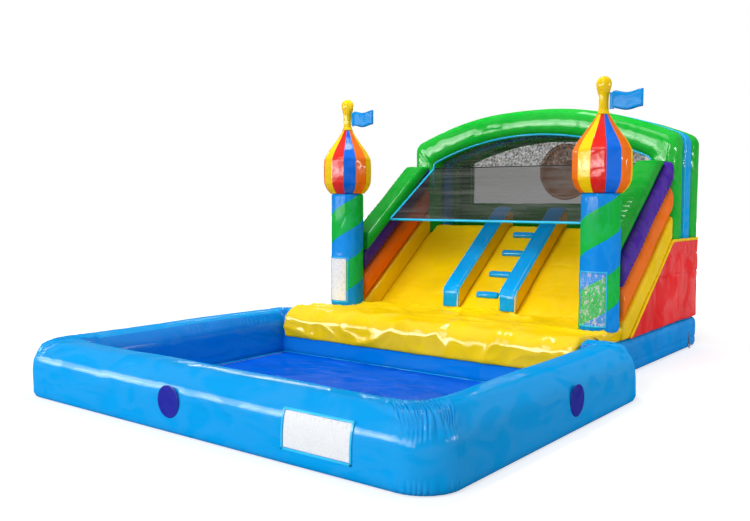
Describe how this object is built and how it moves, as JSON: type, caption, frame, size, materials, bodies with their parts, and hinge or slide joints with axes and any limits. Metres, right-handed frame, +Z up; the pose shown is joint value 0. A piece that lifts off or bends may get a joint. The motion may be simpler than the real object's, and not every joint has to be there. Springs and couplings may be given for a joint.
{
  "type": "inflatable slide",
  "caption": "Inflatable slide with lanes on both sides of a climb, a netted arched house, bulb-topped towers and a low-walled bathing pool at its foot.",
  "frame": {"origin": "centre of the model's bounding box, on the ground", "axes": "+Z up, +Y from the pool's front wall towards the house, +X to the right as seen from the pool"},
  "size_m": [4.1542, 6.1066, 2.7422],
  "materials": {
    "blue_vinyl": "glossy welded PVC tarpaulin, sky blue",
    "pool_floor_vinyl": "glossy PVC tarpaulin, deep blue",
    "yellow_vinyl": "glossy PVC tarpaulin, yellow, creased",
    "orange_vinyl": "glossy PVC tarpaulin, orange",
    "red_vinyl": "glossy PVC tarpaulin, red",
    "purple_vinyl": "glossy PVC tarpaulin, purple",
    "green_vinyl": "glossy PVC tarpaulin, green",
    "tower_vinyl": "sky blue with green spiral bands",
    "bulb_vinyl": "eight gores in yellow, red, blue and orange",
    "finial_vinyl": "glossy PVC tarpaulin, yellow",
    "net_mesh": "black woven safety mesh",
    "clear_film": "clear PVC window film with a welded blue border",
    "white_card": "plain white card",
    "patch_vinyl": "plain navy printed patch",
    "brown_vinyl": "plain brown disc",
    "webbing": "woven polyester",
    "steel": "galvanised"
  },
  "bodies": {
    "root": {"arch_net": "net_mesh", "back_wall": "green_vinyl", "base_mattress": "blue_vinyl", "canopy_net": "net_mesh", "climbing_step_1": "blue_vinyl", "climbing_step_2": "blue_vinyl", "climbing_step_3": "blue_vinyl", "climbing_step_4": "blue_vinyl", "front_rib": "green_vinyl", "inlet_collar": "webbing", "inner_baffle_1": "webbing", "inner_baffle_2": "webbing", "inner_baffle_3": "webbing", "landing_pad": "yellow_vinyl", "left_green_tube": "green_vinyl", "left_orange_tube": "orange_vinyl", "left_purple_tube": "purple_vinyl", "left_rail": "yellow_vinyl", "left_rail_cover": "blue_vinyl", "left_side_panel": "red_vinyl", "left_tower_bulb": "bulb_vinyl", "left_tower_card": "white_card", "left_tower_column": "tower_vinyl", "left_tower_finial": "finial_vinyl", "left_tower_pocket": "clear_film", "left_yellow_tube": "yellow_vinyl", "middle_rib": "blue_vinyl", "platform_deck": "yellow_vinyl", "pool_floor": "pool_floor_vinyl", "pool_front_patch": "patch_vinyl", "pool_side_patch": "patch_vinyl", "pool_sign_card": "white_card", "pool_sign_pocket": "clear_film", "pool_wall": "blue_vinyl", "rear_left_anchor_strap": "webbing", "rear_panel": "red_vinyl", "rear_rib": "green_vinyl", "rear_right_anchor_strap": "webbing", "right_green_tube": "green_vinyl", "right_orange_tube": "orange_vinyl", "right_purple_tube": "purple_vinyl", "right_rail": "yellow_vinyl", "right_rail_cover": "blue_vinyl", "right_side_panel": "red_vinyl", "right_tower_bulb": "bulb_vinyl", "right_tower_column": "tower_vinyl", "right_tower_finial": "finial_vinyl", "right_tower_pocket": "clear_film", "right_yellow_tube": "yellow_vinyl", "round_panel": "brown_vinyl", "slide_bed": "yellow_vinyl", "window_net": "net_mesh", "zip_tape": "webbing"},
    "left_flag": {"left_flag": "blue_vinyl"},
    "right_flag": {"right_flag": "blue_vinyl"},
    "rear_left_ring": {"rear_left_anchor_ring": "steel"},
    "rear_right_ring": {"rear_right_anchor_ring": "steel"},
    "zip_slider": {"zip_slider": "steel"}
  },
  "joints": [
    {"name": "left_flag_swing", "type": "hinge", "parent": "root", "child": "left_flag", "pos_m": [-1.42897, 0.5333, 2.5197], "axis": [0, 0, 1], "range_deg": [-60, 60]},
    {"name": "right_flag_swing", "type": "hinge", "parent": "root", "child": "right_flag", "pos_m": [1.54103, 0.5333, 2.5197], "axis": [0, 0, 1], "range_deg": [-60, 60]},
    {"name": "rear_left_ring_swing", "type": "hinge", "parent": "root", "child": "rear_left_ring", "pos_m": [-1.66125, 2.6733, 0.064], "axis": [0, 1, 0], "range_deg": [0, 150]},
    {"name": "rear_right_ring_swing", "type": "hinge", "parent": "root", "child": "rear_right_ring", "pos_m": [1.65695, 2.6733, 0.064], "axis": [0, -1, 0], "range_deg": [0, 150]},
    {"name": "zip_slide", "type": "slide", "parent": "root", "child": "zip_slider", "axis": [1, 0, 0], "range_m": [0, 1.006]}
  ]
}
